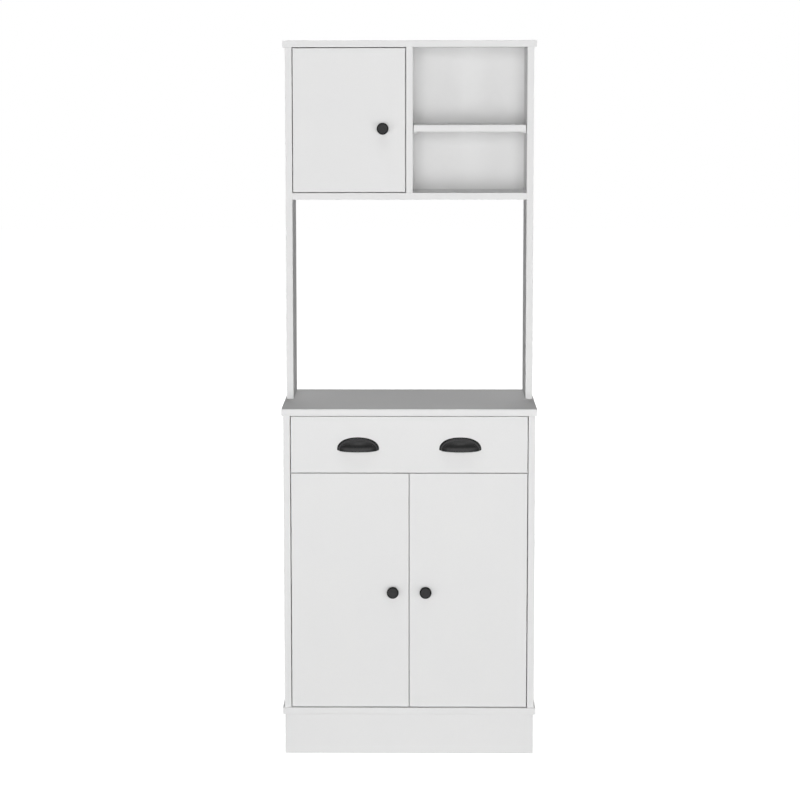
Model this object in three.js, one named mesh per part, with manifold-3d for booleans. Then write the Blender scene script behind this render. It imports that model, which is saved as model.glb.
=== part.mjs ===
// Microwave cabinet: a base with a drawer over two doors, an open microwave bay, and a shallow hutch on top.
// Millimetres, +Z up, front towards -Y. The origin is on the floor, under the middle of the whole cabinet.
import * as THREE from 'three';
import { mergeVertices } from 'three/addons/utils/BufferGeometryUtils.js';
import Module from 'manifold-3d';

const wasm = await Module();
wasm.setup();

// ---------------------------------------------------------------- driving dimensions

// carcass
const board = 16; // melamine-faced board
const backPanel = 3; // hardboard
const ease = 0.5; // eased edge of every board
const cabinetWidth = 600; // worktop and base floor
const cabinetDepth = 385;
const sideOverhang = 4; // worktop and base floor past the carcass sides
const frontOverhang = 5; // worktop and base floor past the carcass front
const plinthHeight = 97;
const plinthSideRecess = 1; // plinth behind the carcass sides
const plinthFrontRecess = 4; // plinth behind the carcass front
const baseOpeningHeight = 700; // base floor to worktop
const bayHeight = 480; // worktop to hutch floor
const hutchDepth = 190;
const hutchOpeningHeight = 345; // hutch floor to top board
const topSideOverhang = 6;
const topFrontOverhang = 5;
const dividerOffset = 0; // divider's middle from the cabinet's middle
const backPanelInset = 0.5; // back panels in from the carcass sides

// fronts
const revealGap = 2; // between an inset front and what frames it
const meetingGap = 1.5; // between the two base doors
const drawerFrontHeight = 133;
const closingGap = 1.5; // behind a closed front

// drawer rail and shelves
const railDepth = 60;
const baseShelfHeight = 277; // base floor to the shelf's underside
const baseShelfSetback = 40;
const openShelfHeight = 145; // hutch floor to the shelf's underside
const openShelfSetback = 6;
const shelfEndGap = 2; // between a shelf and the board at its end
const shelfBackGap = 2;
const pinDiameter = 5;
const pinReach = 9; // shelf pin out of its board
const pinClearance = 0.3; // under the shelf
const pinInset = 37; // pin from the shelf's front or back edge

// drawer
const drawerBoard = 12;
const drawerBottom = 3;
const drawerBoxHeight = 100;
const drawerBoxDepth = 350;
const drawerBoxLift = 12; // drawer box over its front's lower edge
const grooveDepth = 6;
const grooveClearance = 0.25;
const grooveHeight = 7; // groove over the drawer side's lower edge

// drawer slides, three members each
const slideThickness = 12.5;
const slideHeight = 45;
const slideLength = 350;
const slideMetal = 1.25;
const slideRunningGap = 0.35;
const slideWebGap = 1.25; // between the webs of the fixed and the middle member
const slideLip = 2.5;
const slideLift = 50; // slide's middle over the drawer side's lower edge
const slideSideGap = 1; // between the fixed member's lips and the drawer side

// handles
const knobDiameter = 28;
const knobProjection = 24;
const knobStemDiameter = 11;
const knobBaseDiameter = 17;
const knobBaseHeight = 1.5;
const knobRimDepth = 6; // straight and rounded rim together
const knobRounding = 2.5; // round between the rim and the flat face
const knobNeckFlare = 4; // depth over which the stem opens out under the head
const doorKnobInset = 38.75; // base door knob from the meeting edge
const doorKnobDrop = 1; // base door knob below the door's middle
const hutchKnobInset = 53.75; // hutch door knob from the door's free edge
const hutchKnobHeight = 151; // hutch door knob over the door's lower edge
const pullWidth = 99;
const pullHeight = 31;
const pullProjection = 24;
const pullWall = 2.2;
const pullFlange = 4; // flange round the dome
const pullFlangeThickness = 2;
const pullSquareness = 2.2; // exponent of the arch: 2 is an ellipse
const pullFootRounding = 3; // lower corners of the flange
const pullLipDrop = 1.3; // front lip below the flange's feet
const pullRise = 2; // pull's middle over the drawer front's
const pullSpacing = 240; // between the two pulls
const pullBossDiameter = 8;
const pullBossSpacing = 64;
const pullBossHeight = 10; // boss's middle over the lower edge

// concealed hinges
const hingeEndDistance = 80; // from a base door's end to the hinge
const hutchHingeEndDistance = 60;
const cupDiameter = 35;
const cupDepth = 12;
const cupWall = 1;
const cupEdgeDistance = 5; // door's edge to the cup
const cupFitGap = 0.3; // between the cup and its bore
const cupFlange = 1;
const cupFlangeRim = 1.5; // flange past the cup
const cupEarRadius = 5.5; // ends of the flange's screw ears
const cupScrewSpacing = 45;
const cupScrewOffset = 9.5; // screw line from the cup's middle, away from the door's edge
const armPivot = [31, 20]; // link's pivot on the arm: into the opening, back from the door's front
const cupPivot = [12.5, 11]; // link's pivot in the cup
const hingePin = 2.5; // diameter of both pivot pins
const pinRunningGap = 0.3;
const eyeWall = 1.2; // round a link's pin hole
const linkThickness = 2.4;
const linkBulge = 7.75; // how far the link bends off the straight line between its pivots
const linkWidth = 9;
const cheekGap = 0.35; // between the link and the arm's cheeks
const cheekThickness = 1.5;
const cheekRim = 0.5; // the arm's nose past the link's eye
const armDrop = 9; // straight part of the nose behind the pivot
const armHeight = 9; // arm's top over the face that carries it
const armCrank = 12; // length over which the arm climbs from the plate
const plateSetback = 37; // mounting plate's screw line behind the door's back face
const plateLength = 44;
const plateWidth = 50; // across the wings, along Z
const plateBarWidth = 15;
const plateThickness = 3;

// ---------------------------------------------------------------- places that follow from them

const carcassHalf = cabinetWidth / 2 - sideOverhang;
const clearHalf = carcassHalf - board; // inner face of the sides, base and hutch
const carcassBack = cabinetDepth - frontOverhang; // y = 0 is the carcass front
const panelFace = carcassBack - backPanel; // the back panels lie behind this
const hutchFront = carcassBack - hutchDepth;

const baseFloorTop = plinthHeight + board;
const worktopUnder = baseFloorTop + baseOpeningHeight;
const worktopTop = worktopUnder + board;
const hutchFloorUnder = worktopTop + bayHeight;
const hutchFloorTop = hutchFloorUnder + board;
const topUnder = hutchFloorTop + hutchOpeningHeight;
const topTop = topUnder + board;

const drawerFrontTop = worktopUnder - revealGap;
const drawerFrontBottom = drawerFrontTop - drawerFrontHeight;
const doorTop = drawerFrontBottom - revealGap;
const doorBottom = baseFloorTop + revealGap;
const railMiddle = (drawerFrontBottom + doorTop) / 2;

const frontmost = Math.max(knobProjection, pullProjection, frontOverhang);
const middleY = (carcassBack - frontmost) / 2;

// ---------------------------------------------------------------- materials

function paint(color, roughness, metalness = 0) {
  return new THREE.MeshStandardMaterial({ color, roughness, metalness });
}

const whiteBoard = paint(0xe6e6e6, 0.45);
const whiteHardboard = paint(0xdcdcda, 0.6);
const blackMetal = paint(0x2a2a2b, 0.42, 0.6);
const zincSteel = paint(0xb4b6b8, 0.35, 0.9);

// ---------------------------------------------------------------- solids

const cabinet = new THREE.Group();
cabinet.position.y = -middleY;

function addPiece(parent, name, geometry, material) {
  const mesh = new THREE.Mesh(geometry, material);
  mesh.name = name;
  parent.add(mesh);
  return mesh;
}

function toSolid(geometry) {
  const bare = geometry.clone();
  bare.deleteAttribute('normal');
  bare.deleteAttribute('uv');
  const merged = mergeVertices(bare, 1e-4);
  const vertProperties = new Float32Array(merged.attributes.position.array);
  const triVerts = new Uint32Array(merged.index.array);
  return new wasm.Manifold(new wasm.Mesh({ numProp: 3, vertProperties, triVerts }));
}

function toGeometry(solid) {
  const mesh = solid.getMesh();
  const geometry = new THREE.BufferGeometry();
  geometry.setAttribute('position', new THREE.BufferAttribute(new Float32Array(mesh.vertProperties), 3));
  geometry.setIndex(new THREE.BufferAttribute(new Uint32Array(mesh.triVerts), 1));
  geometry.computeVertexNormals();
  return geometry;
}

// A plain block between two corners.
function block([x0, x1], [y0, y1], [z0, z1]) {
  const box = new THREE.BoxGeometry(x1 - x0, y1 - y0, z1 - z0);
  return box.translate((x0 + x1) / 2, (y0 + y1) / 2, (z0 + z1) / 2);
}

// A board between two corners, with all its edges eased.
function easedBoard([x0, x1], [y0, y1], [z0, z1]) {
  const e = Math.min(ease, (z1 - z0) / 4, (y1 - y0) / 4, (x1 - x0) / 4);
  const outline = new THREE.Shape([
    [x0 + e, y0], [x1 - e, y0], [x1, y0 + e], [x1, y1 - e],
    [x1 - e, y1], [x0 + e, y1], [x0, y1 - e], [x0, y0 + e],
  ].map(([x, y]) => new THREE.Vector2(x, y)));
  const bevel = { bevelEnabled: true, bevelThickness: e, bevelSize: e, bevelOffset: -e, bevelSegments: 1 };
  const rise = { depth: z1 - z0 - 2 * e, steps: 1 };
  return new THREE.ExtrudeGeometry(outline, { ...rise, ...bevel }).translate(0, 0, z0 + e);
}

// A cylinder along Y between two depths.
function rodY(radius, [y0, y1], x, z, sides = 12) {
  const rod = new THREE.CylinderGeometry(radius, radius, y1 - y0, sides);
  return rod.translate(x, (y0 + y1) / 2, z);
}

// A cylinder along X between two places.
function rodX(radius, [x0, x1], y, z, sides = 8) {
  const rod = new THREE.CylinderGeometry(radius, radius, x1 - x0, sides).rotateZ(Math.PI / 2);
  return rod.translate((x0 + x1) / 2, y, z);
}

// A cylinder along Z between two heights.
function rodZ(radius, [z0, z1], x, y, sides = 10) {
  const rod = new THREE.CylinderGeometry(radius, radius, z1 - z0, sides).rotateX(Math.PI / 2);
  return rod.translate(x, y, (z0 + z1) / 2);
}

// A flat outline of points, extruded from one height to another along Z.
function plateZ(points, [z0, z1]) {
  const outline = new THREE.Shape(points.map(([x, y]) => new THREE.Vector2(x, y)));
  return new THREE.ExtrudeGeometry(outline, { depth: z1 - z0, bevelEnabled: false }).translate(0, 0, z0);
}

// ---------------------------------------------------------------- base

function addWorktopAndFloor() {
  const x = [-cabinetWidth / 2, cabinetWidth / 2];
  const y = [-frontOverhang, carcassBack];
  addPiece(cabinet, 'worktop', easedBoard(x, y, [worktopUnder, worktopTop]), whiteBoard);
  addPiece(cabinet, 'base_floor', easedBoard(x, y, [plinthHeight, baseFloorTop]), whiteBoard);
}

function addPlinth() {
  const x = carcassHalf - plinthSideRecess;
  const front = plinthFrontRecess;
  const rise = [0, plinthHeight];
  addPiece(cabinet, 'plinth_front', easedBoard([-x, x], [front, front + board], rise), whiteBoard);
  const sideY = [front + board, carcassBack];
  addPiece(cabinet, 'plinth_side_left', easedBoard([-x, -x + board], sideY, rise), whiteBoard);
  addPiece(cabinet, 'plinth_side_right', easedBoard([x - board, x], sideY, rise), whiteBoard);
  const backY = [carcassBack - board, carcassBack];
  addPiece(cabinet, 'plinth_back', easedBoard([-x + board, x - board], backY, rise), whiteBoard);
}

const baseShelfZ = baseFloorTop + baseShelfHeight;
const baseShelfY = [board + baseShelfSetback, panelFace - shelfBackGap];

function addBaseSides() {
  for (const [name, side] of [['base_side_left', -1], ['base_side_right', 1]]) {
    const x = side < 0 ? [-carcassHalf, -clearHalf] : [clearHalf, carcassHalf];
    const panel = toSolid(easedBoard(x, [0, panelFace], [baseFloorTop, worktopUnder]));
    const pins = shelfPins(side, clearHalf, baseShelfY, baseShelfZ);
    addPiece(cabinet, name, withPins(panel, pins), whiteBoard);
  }
}

// Two pins in the board at one end of a shelf. face is that board's inner face, and side says which end.
function shelfPins(side, face, [frontY, backY], shelfUnder) {
  const radius = pinDiameter / 2;
  const z = shelfUnder - pinClearance - radius;
  const inner = side * (face - pinReach);
  const root = side * (face + board / 2);
  return [frontY + pinInset, backY - pinInset].map((y) =>
    toSolid(rodX(radius, [Math.min(inner, root), Math.max(inner, root)], y, z)));
}

function withPins(panel, pins) {
  return toGeometry(pins.reduce((solid, pin) => solid.add(pin), panel));
}

function addBaseInside() {
  const railY = [board + closingGap, board + closingGap + railDepth];
  const railZ = [railMiddle - board / 2, railMiddle + board / 2];
  addPiece(cabinet, 'drawer_rail', easedBoard([-clearHalf, clearHalf], railY, railZ), whiteBoard);
  const shelfX = [-clearHalf + shelfEndGap, clearHalf - shelfEndGap];
  const shelf = easedBoard(shelfX, baseShelfY, [baseShelfZ, baseShelfZ + board]);
  addPiece(cabinet, 'base_shelf', shelf, whiteBoard);
  const backX = carcassHalf - backPanelInset;
  const back = block([-backX, backX], [panelFace, carcassBack], [baseFloorTop, worktopUnder]);
  addPiece(cabinet, 'base_back', back, whiteHardboard);
}

// ---------------------------------------------------------------- hutch

const dividerLeft = dividerOffset - board / 2;
const dividerRight = dividerOffset + board / 2;
const openShelfZ = hutchFloorTop + openShelfHeight;
const openShelfY = [hutchFront + openShelfSetback, panelFace - shelfBackGap];

function addHutch() {
  const boardY = [hutchFront, panelFace];
  const left = easedBoard([-carcassHalf, -clearHalf], boardY, [worktopTop, topUnder]);
  addPiece(cabinet, 'hutch_side_left', left, whiteBoard);
  const right = toSolid(easedBoard([clearHalf, carcassHalf], boardY, [worktopTop, topUnder]));
  const rightPins = shelfPins(1, clearHalf, openShelfY, openShelfZ);
  addPiece(cabinet, 'hutch_side_right', withPins(right, rightPins), whiteBoard);
  const floor = easedBoard([-clearHalf, clearHalf], boardY, [hutchFloorUnder, hutchFloorTop]);
  addPiece(cabinet, 'hutch_floor', floor, whiteBoard);
  const divider = toSolid(easedBoard([dividerLeft, dividerRight], boardY, [hutchFloorTop, topUnder]));
  const dividerPins = shelfPins(-1, -dividerRight, openShelfY, openShelfZ);
  addPiece(cabinet, 'hutch_divider', withPins(divider, dividerPins), whiteBoard);
  const topX = carcassHalf + topSideOverhang;
  const top = easedBoard([-topX, topX], [hutchFront - topFrontOverhang, carcassBack], [topUnder, topTop]);
  addPiece(cabinet, 'hutch_top', top, whiteBoard);
  const shelfX = [dividerRight + shelfEndGap, clearHalf - shelfEndGap];
  const shelf = easedBoard(shelfX, openShelfY, [openShelfZ, openShelfZ + board]);
  addPiece(cabinet, 'open_shelf', shelf, whiteBoard);
  const backX = carcassHalf - backPanelInset;
  const back = block([-backX, backX], [panelFace, carcassBack], [hutchFloorUnder + backPanelInset, topUnder]);
  addPiece(cabinet, 'hutch_back', back, whiteHardboard);
}

// ---------------------------------------------------------------- drawer

const boxHalf = clearHalf - slideThickness; // outer face of the drawer's sides
const boxBottom = drawerFrontBottom + drawerBoxLift;
const boxTop = boxBottom + drawerBoxHeight;
const boxBack = board + drawerBoxDepth;
const bottomZ = [boxBottom + grooveHeight, boxBottom + grooveHeight + drawerBottom];
const grooveZ = [bottomZ[0] - grooveClearance, bottomZ[1] + grooveClearance];

function addDrawerBox() {
  const innerHalf = boxHalf - drawerBoard;
  const grooveHalf = innerHalf + grooveDepth;
  const frontX = clearHalf - revealGap;
  const front = toSolid(easedBoard([-frontX, frontX], [0, board], [drawerFrontBottom, drawerFrontTop]));
  const frontGroove = toSolid(block([-grooveHalf, grooveHalf], [board - grooveDepth, board + 1], grooveZ));
  addPiece(cabinet, 'drawer_front', toGeometry(front.subtract(frontGroove)), whiteBoard);
  for (const [name, side] of [['drawer_side_left', -1], ['drawer_side_right', 1]]) {
    const x = [side * innerHalf, side * boxHalf].sort((a, b) => a - b);
    const grooveX = [side * (innerHalf - 1), side * grooveHalf].sort((a, b) => a - b);
    const panel = toSolid(easedBoard(x, [board, boxBack], [boxBottom, boxTop]));
    const groove = toSolid(block(grooveX, [board - 1, boxBack + 1], grooveZ));
    addPiece(cabinet, name, toGeometry(panel.subtract(groove)), whiteBoard);
  }
  const back = easedBoard([-innerHalf, innerHalf], [boxBack - drawerBoard, boxBack], [bottomZ[1], boxTop]);
  addPiece(cabinet, 'drawer_back', back, whiteBoard);
  const bottomHalf = grooveHalf - grooveClearance;
  const bottomY = [board - grooveDepth + grooveClearance, boxBack];
  addPiece(cabinet, 'drawer_bottom', block([-bottomHalf, bottomHalf], bottomY, bottomZ), whiteHardboard);
}

// Outline of one slide member: u runs from the cabinet side, v up from the slide's middle. The web's outer
// face is at webAt, both flanges run from there to reach, and their lips turn in or out.
function channelOutline({ webAt, reach, halfHeight, lip, lipOut = false }) {
  const towards = Math.sign(reach - webAt);
  const webFar = webAt + towards * slideMetal;
  const lipNear = reach - towards * slideMetal;
  const inner = halfHeight - slideMetal;
  const lipEnd = lipOut ? halfHeight + lip : inner - lip;
  const upper = lipOut
    ? [[webAt, halfHeight], [lipNear, halfHeight], [lipNear, lipEnd], [reach, lipEnd], [reach, inner]]
    : [[webAt, halfHeight], [reach, halfHeight], [reach, lipEnd], [lipNear, lipEnd], [lipNear, inner]];
  const corner = [webFar, inner];
  const top = [...upper, corner];
  return [...top, ...top.map(([u, v]) => [u, -v]).reverse()];
}

function slideMember(outline, side, [y0, y1], z) {
  const shape = new THREE.Shape(outline.map(([u, v]) => new THREE.Vector2(side * (clearHalf - u), v)));
  const length = { depth: y1 - y0, bevelEnabled: false };
  return new THREE.ExtrudeGeometry(shape, length).rotateX(Math.PI / 2).translate(0, y1, z);
}

function addSlides() {
  const z = boxBottom + slideLift;
  const start = board + closingGap + slideWebGap;
  const span = [start, start + slideLength];
  const middleSpan = [span[0] + slideWebGap, span[1] - slideWebGap];
  const outerHalf = slideHeight / 2;
  const middleHalf = outerHalf - slideMetal - slideRunningGap;
  const innerTip = middleHalf - slideMetal - slideRunningGap; // ends of the drawer member's lips
  const fixedReach = slideThickness - slideSideGap;
  const middleReach = fixedReach - slideMetal - slideRunningGap;
  const lipAt = middleReach - slideMetal - slideRunningGap;
  const fixed = channelOutline({ webAt: 0, reach: fixedReach, halfHeight: outerHalf, lip: slideLip });
  const middleWeb = slideMetal + slideWebGap;
  const nested = { webAt: middleWeb, reach: middleReach, halfHeight: middleHalf };
  const middle = channelOutline({ ...nested, lip: slideLip });
  const hat = { webAt: slideThickness, reach: lipAt - slideMetal, halfHeight: innerTip - 2 * slideLip };
  const moving = channelOutline({ ...hat, lip: 2 * slideLip, lipOut: true });
  for (const [name, side] of [['left', -1], ['right', 1]]) {
    addPiece(cabinet, `slide_fixed_${name}`, slideMember(fixed, side, span, z), zincSteel);
    addPiece(cabinet, `slide_middle_${name}`, slideMember(middle, side, middleSpan, z), zincSteel);
    addPiece(cabinet, `slide_drawer_${name}`, slideMember(moving, side, span, z), zincSteel);
  }
}

// ---------------------------------------------------------------- handles

// Moves a point of a circle out to the pull's arch, which is a little squarer than an ellipse.
function squarer(x, z) {
  const full = (Math.abs(x) ** pullSquareness + Math.abs(z) ** pullSquareness) ** (1 / pullSquareness);
  const stretch = full > 0 ? Math.hypot(x, z) / full : 1;
  return [x * stretch, z * stretch];
}

// One skin of the pull's dome, as a closed form round the middle of its foot.
function domeSkin(half, projection, height) {
  const skin = new THREE.SphereGeometry(1, 32, 16);
  const at = skin.attributes.position;
  for (let i = 0; i < at.count; i += 1) {
    const [x, z] = squarer(at.getX(i), at.getZ(i));
    at.setXYZ(i, half * x, projection * at.getY(i), height * z);
  }
  return toSolid(skin);
}

// The flat flange round the pull's arch, with rounded feet.
function archFlange() {
  const steps = 28;
  const half = pullWidth / 2;
  const foot = pullFootRounding;
  const outline = new THREE.Shape();
  outline.absarc(half - foot, foot, foot, -Math.PI / 2, 0, false);
  for (let k = 1; k < steps; k += 1) {
    const angle = Math.PI * k / steps;
    const [x, z] = squarer(Math.cos(angle), Math.sin(angle));
    outline.lineTo(half * x, foot + (pullHeight - foot) * z);
  }
  outline.absarc(foot - half, foot, foot, Math.PI, 1.5 * Math.PI, false);
  const plate = { depth: pullFlangeThickness, bevelEnabled: false, curveSegments: 4 };
  return toSolid(new THREE.ExtrudeGeometry(outline, plate).rotateX(Math.PI / 2));
}

// A bin pull: a thin quarter dome, open below and behind, with a flange round its arch and two threaded
// bosses inside. Its flange lies on the plane y = 0 with its feet on z = 0, and its lip hangs a little lower.
function cupPull() {
  const domeHalf = pullWidth / 2 - pullFlange;
  const domeHeight = pullHeight - pullFlange;
  const outer = domeSkin(domeHalf, pullProjection, domeHeight);
  const inner = domeSkin(domeHalf - pullWall, pullProjection - pullWall, domeHeight - pullWall);
  const far = pullWidth;
  const drop = far * pullLipDrop / pullProjection;
  const side = plateZ([[0, 0], [0, far], [-far, far], [-far, -drop]], [-far, far]);
  const quarter = toSolid(side.rotateX(Math.PI / 2).rotateZ(Math.PI / 2));
  let solid = outer.intersect(quarter).add(archFlange()).subtract(inner);
  for (const hand of [-1, 1]) {
    const boss = rodY(pullBossDiameter / 2, [-pullProjection, 0], hand * pullBossSpacing / 2, pullBossHeight);
    solid = solid.add(toSolid(boss).intersect(outer));
  }
  return toGeometry(solid);
}

function addPulls() {
  const z = (drawerFrontBottom + drawerFrontTop) / 2 + pullRise - pullHeight / 2;
  for (const [name, side] of [['cup_pull_left', -1], ['cup_pull_right', 1]]) {
    addPiece(cabinet, name, cupPull(), blackMetal).position.set(side * pullSpacing / 2, 0, z);
  }
}

// A round knob with its base on the plane y = 0 and its flat face towards -Y.
function knob() {
  const head = knobDiameter / 2;
  const stem = knobStemDiameter / 2;
  const foot = knobBaseDiameter / 2;
  const headBack = knobProjection - knobRimDepth;
  const profile = new THREE.Path();
  profile.moveTo(0, 0);
  profile.lineTo(foot, 0);
  profile.lineTo(foot, knobBaseHeight);
  profile.quadraticCurveTo(stem, knobBaseHeight, stem, knobBaseHeight + foot - stem);
  profile.lineTo(stem, headBack - knobNeckFlare);
  profile.quadraticCurveTo(stem, headBack, head - knobRounding / 2, headBack);
  profile.quadraticCurveTo(head, headBack, head, headBack + knobRounding / 2);
  profile.lineTo(head, knobProjection - knobRounding);
  profile.absarc(head - knobRounding, knobProjection - knobRounding, knobRounding, 0, Math.PI / 2, false);
  profile.lineTo(0, knobProjection);
  return new THREE.LatheGeometry(profile.getPoints(3), 24).rotateX(Math.PI);
}

// ---------------------------------------------------------------- doors and hinges

// Every hinge is made in its own frame: x into the opening from the face that carries the arm, y back from
// the door's front, z up from the hinge's middle.
const cupCentre = revealGap + cupEdgeDistance + cupDiameter / 2;
const cupBottom = board - cupDepth;
const pinRadius = hingePin / 2;
const eyeRadius = pinRadius + pinRunningGap + eyeWall;
const armHalf = linkWidth / 2 + cheekGap + cheekThickness;

// The cup: a thin bowl let into the door, with a flange and two screw ears on the door's back, and the link's
// pin across it.
function hingeCup() {
  const outer = cupDiameter / 2 - cupFitGap;
  const inner = outer - cupWall;
  const rim = cupDiameter / 2 + cupFlangeRim;
  const flangeY = [board, board + cupFlange];
  let solid = toSolid(rodY(outer, [cupBottom, flangeY[1]], cupCentre, 0, 28));
  solid = solid.add(toSolid(rodY(rim, flangeY, cupCentre, 0, 28)));
  for (const side of [-1, 1]) {
    const earX = cupCentre + cupScrewOffset;
    const earZ = side * cupScrewSpacing / 2;
    solid = solid.add(toSolid(rodY(cupEarRadius, flangeY, earX, earZ, 16)));
    const neck = [Math.min(0, earZ), Math.max(0, earZ)];
    solid = solid.add(toSolid(block([earX - cupEarRadius, earX + cupEarRadius], flangeY, neck)));
  }
  solid = solid.subtract(toSolid(rodY(inner, [cupBottom + cupWall, flangeY[1] + 1], cupCentre, 0, 28)));
  const chord = Math.sqrt(inner ** 2 - (cupCentre - cupPivot[0]) ** 2) + cupWall / 2;
  return toGeometry(solid.add(toSolid(rodZ(pinRadius, [-chord, chord], ...cupPivot))));
}

// The link: a bar bent along an arc through both pivots, with an eye at each end.
function hingeLink() {
  const [cup, arm] = [new THREE.Vector2(...cupPivot), new THREE.Vector2(...armPivot)];
  const span = arm.clone().sub(cup);
  const halfSpan = span.length() / 2;
  const radius = (halfSpan ** 2 + linkBulge ** 2) / (2 * linkBulge);
  const bulgeWay = new THREE.Vector2(span.y, -span.x).normalize(); // towards the bottom of the cup
  const centre = cup.clone().add(arm).multiplyScalar(0.5).addScaledVector(bulgeWay, linkBulge - radius);
  const middle = bulgeWay.angle();
  const sweep = Math.atan2(halfSpan, radius - linkBulge);
  const strip = new THREE.Shape();
  strip.absarc(centre.x, centre.y, radius + linkThickness / 2, middle - sweep, middle + sweep, false);
  strip.absarc(centre.x, centre.y, radius - linkThickness / 2, middle + sweep, middle - sweep, true);
  strip.closePath();
  const width = [-linkWidth / 2, linkWidth / 2];
  const bar = new THREE.ExtrudeGeometry(strip, { depth: linkWidth, bevelEnabled: false, curveSegments: 10 });
  let solid = toSolid(bar.translate(0, 0, width[0]));
  for (const pivot of [cupPivot, armPivot]) {
    solid = solid.add(toSolid(rodZ(eyeRadius, width, ...pivot, 14)));
  }
  for (const pivot of [cupPivot, armPivot]) {
    const through = [width[0] - 1, width[1] + 1];
    solid = solid.subtract(toSolid(rodZ(pinRadius + pinRunningGap, through, ...pivot, 10)));
  }
  return toGeometry(solid);
}

// The arm with its mounting plate: it rises from the plate and cranks out to the link's pivot, where it is a
// fork with the pin between its cheeks.
function hingeArm() {
  const [pivotX, pivotY] = armPivot;
  const nose = eyeRadius + cheekRim;
  const plateY = board + plateSetback;
  const armEnd = plateY + plateLength / 2;
  const climbStart = pivotY + armDrop;
  const climbEnd = climbStart + armCrank;
  const foot = plateThickness - 1;
  const side = [
    [pivotX + nose, pivotY], [pivotX + nose, climbStart], [armHeight, climbEnd + nose],
    [armHeight, armEnd], [foot, armEnd], [foot, climbEnd],
    [pivotX - nose, climbStart - cheekRim], [pivotX - nose, pivotY],
  ];
  let solid = toSolid(plateZ(side, [-armHalf, armHalf]));
  solid = solid.add(toSolid(rodZ(nose, [-armHalf, armHalf], ...armPivot, 16)));
  const slotHalf = linkWidth / 2 + cheekGap;
  const slotX = [pivotX - 2 * nose, pivotX + 2 * nose];
  const slot = block(slotX, [pivotY - 2 * nose, pivotY + nose], [-slotHalf, slotHalf]);
  solid = solid.subtract(toSolid(slot));
  const wingX = [0, plateThickness];
  const barY = [plateY - plateLength / 2, plateY + plateLength / 2];
  solid = solid.add(toSolid(block(wingX, barY, [-plateBarWidth / 2, plateBarWidth / 2])));
  const wingY = [plateY - plateBarWidth / 2, plateY + plateBarWidth / 2];
  solid = solid.add(toSolid(block(wingX, wingY, [-plateWidth / 2, plateWidth / 2])));
  return toGeometry(solid.add(toSolid(rodZ(pinRadius, [-armHalf, armHalf], ...armPivot))));
}

// A door with a bore for each hinge cup, in the hinge's frame but with z as it stands in the cabinet.
function doorBoard(width, [z0, z1], hingeHeights) {
  let solid = toSolid(easedBoard([revealGap, revealGap + width], [0, board], [z0, z1]));
  for (const z of hingeHeights) {
    const bore = rodY(cupDiameter / 2, [cupBottom - cupFitGap, board + 1], cupCentre, z, 28);
    solid = solid.subtract(toSolid(bore));
  }
  return toGeometry(solid);
}

// One door with its two hinges. It hangs on the face at x = face, and hand is 1 where the opening lies to the
// right of that face and -1 where it lies to the left.
function addDoor({ name, hand, face, front, width, z, endDistance, knobX, knobZ }) {
  const place = new THREE.Group();
  place.position.set(face, front, 0);
  place.scale.x = hand;
  cabinet.add(place);
  const heights = { lower: z[0] + endDistance, upper: z[1] - endDistance };
  addPiece(place, `${name}_door`, doorBoard(width, z, Object.values(heights)), whiteBoard);
  addPiece(place, `${name}_knob`, knob(), blackMetal).position.set(knobX, 0, knobZ);
  for (const [end, height] of Object.entries(heights)) {
    addPiece(place, `${name}_hinge_arm_${end}`, hingeArm(), zincSteel).position.z = height;
    addPiece(place, `${name}_hinge_link_${end}`, hingeLink(), zincSteel).position.z = height;
    addPiece(place, `${name}_hinge_cup_${end}`, hingeCup(), zincSteel).position.z = height;
  }
}

function addDoors() {
  const width = clearHalf - revealGap - meetingGap / 2;
  const z = [doorBottom, doorTop];
  const knobX = clearHalf - doorKnobInset;
  const knobZ = (doorBottom + doorTop) / 2 - doorKnobDrop;
  const base = { front: 0, width, z, endDistance: hingeEndDistance, knobX, knobZ };
  addDoor({ name: 'left', hand: 1, face: -clearHalf, ...base });
  addDoor({ name: 'right', hand: -1, face: clearHalf, ...base });
  const hutchWidth = dividerLeft + clearHalf - 2 * revealGap;
  const hutchZ = [hutchFloorTop + revealGap, topUnder - revealGap];
  addDoor({
    name: 'hutch', hand: 1, face: -clearHalf, front: hutchFront, width: hutchWidth, z: hutchZ,
    endDistance: hutchHingeEndDistance,
    knobX: revealGap + hutchWidth - hutchKnobInset,
    knobZ: hutchZ[0] + hutchKnobHeight,
  });
}

// ---------------------------------------------------------------- the whole cabinet

addWorktopAndFloor();
addPlinth();
addBaseSides();
addBaseInside();
addHutch();
addDrawerBox();
addSlides();
addPulls();
addDoors();

export default cabinet;
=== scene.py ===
"""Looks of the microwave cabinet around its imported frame.

Metres, front towards -Y, floor at z = 0. Pieces are modelled in millimetres and scaled once, in shown().
"""
import math

import bmesh
import bpy
from mathutils import Matrix, Vector


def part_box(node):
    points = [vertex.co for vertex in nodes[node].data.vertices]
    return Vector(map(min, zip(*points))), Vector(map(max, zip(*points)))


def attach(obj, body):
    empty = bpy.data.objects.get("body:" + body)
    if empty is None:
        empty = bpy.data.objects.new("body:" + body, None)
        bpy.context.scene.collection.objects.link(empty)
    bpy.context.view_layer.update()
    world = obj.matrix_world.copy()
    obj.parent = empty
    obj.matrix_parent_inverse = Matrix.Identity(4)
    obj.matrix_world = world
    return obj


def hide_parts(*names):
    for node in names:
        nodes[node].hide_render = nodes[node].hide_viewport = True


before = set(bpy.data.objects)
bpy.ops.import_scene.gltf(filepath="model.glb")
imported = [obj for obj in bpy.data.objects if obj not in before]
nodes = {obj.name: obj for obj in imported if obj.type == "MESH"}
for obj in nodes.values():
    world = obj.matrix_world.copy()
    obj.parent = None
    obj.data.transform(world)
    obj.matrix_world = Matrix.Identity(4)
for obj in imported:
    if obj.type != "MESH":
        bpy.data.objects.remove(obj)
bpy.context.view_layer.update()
scene = bpy.context.scene
MM = 0.001


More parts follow.
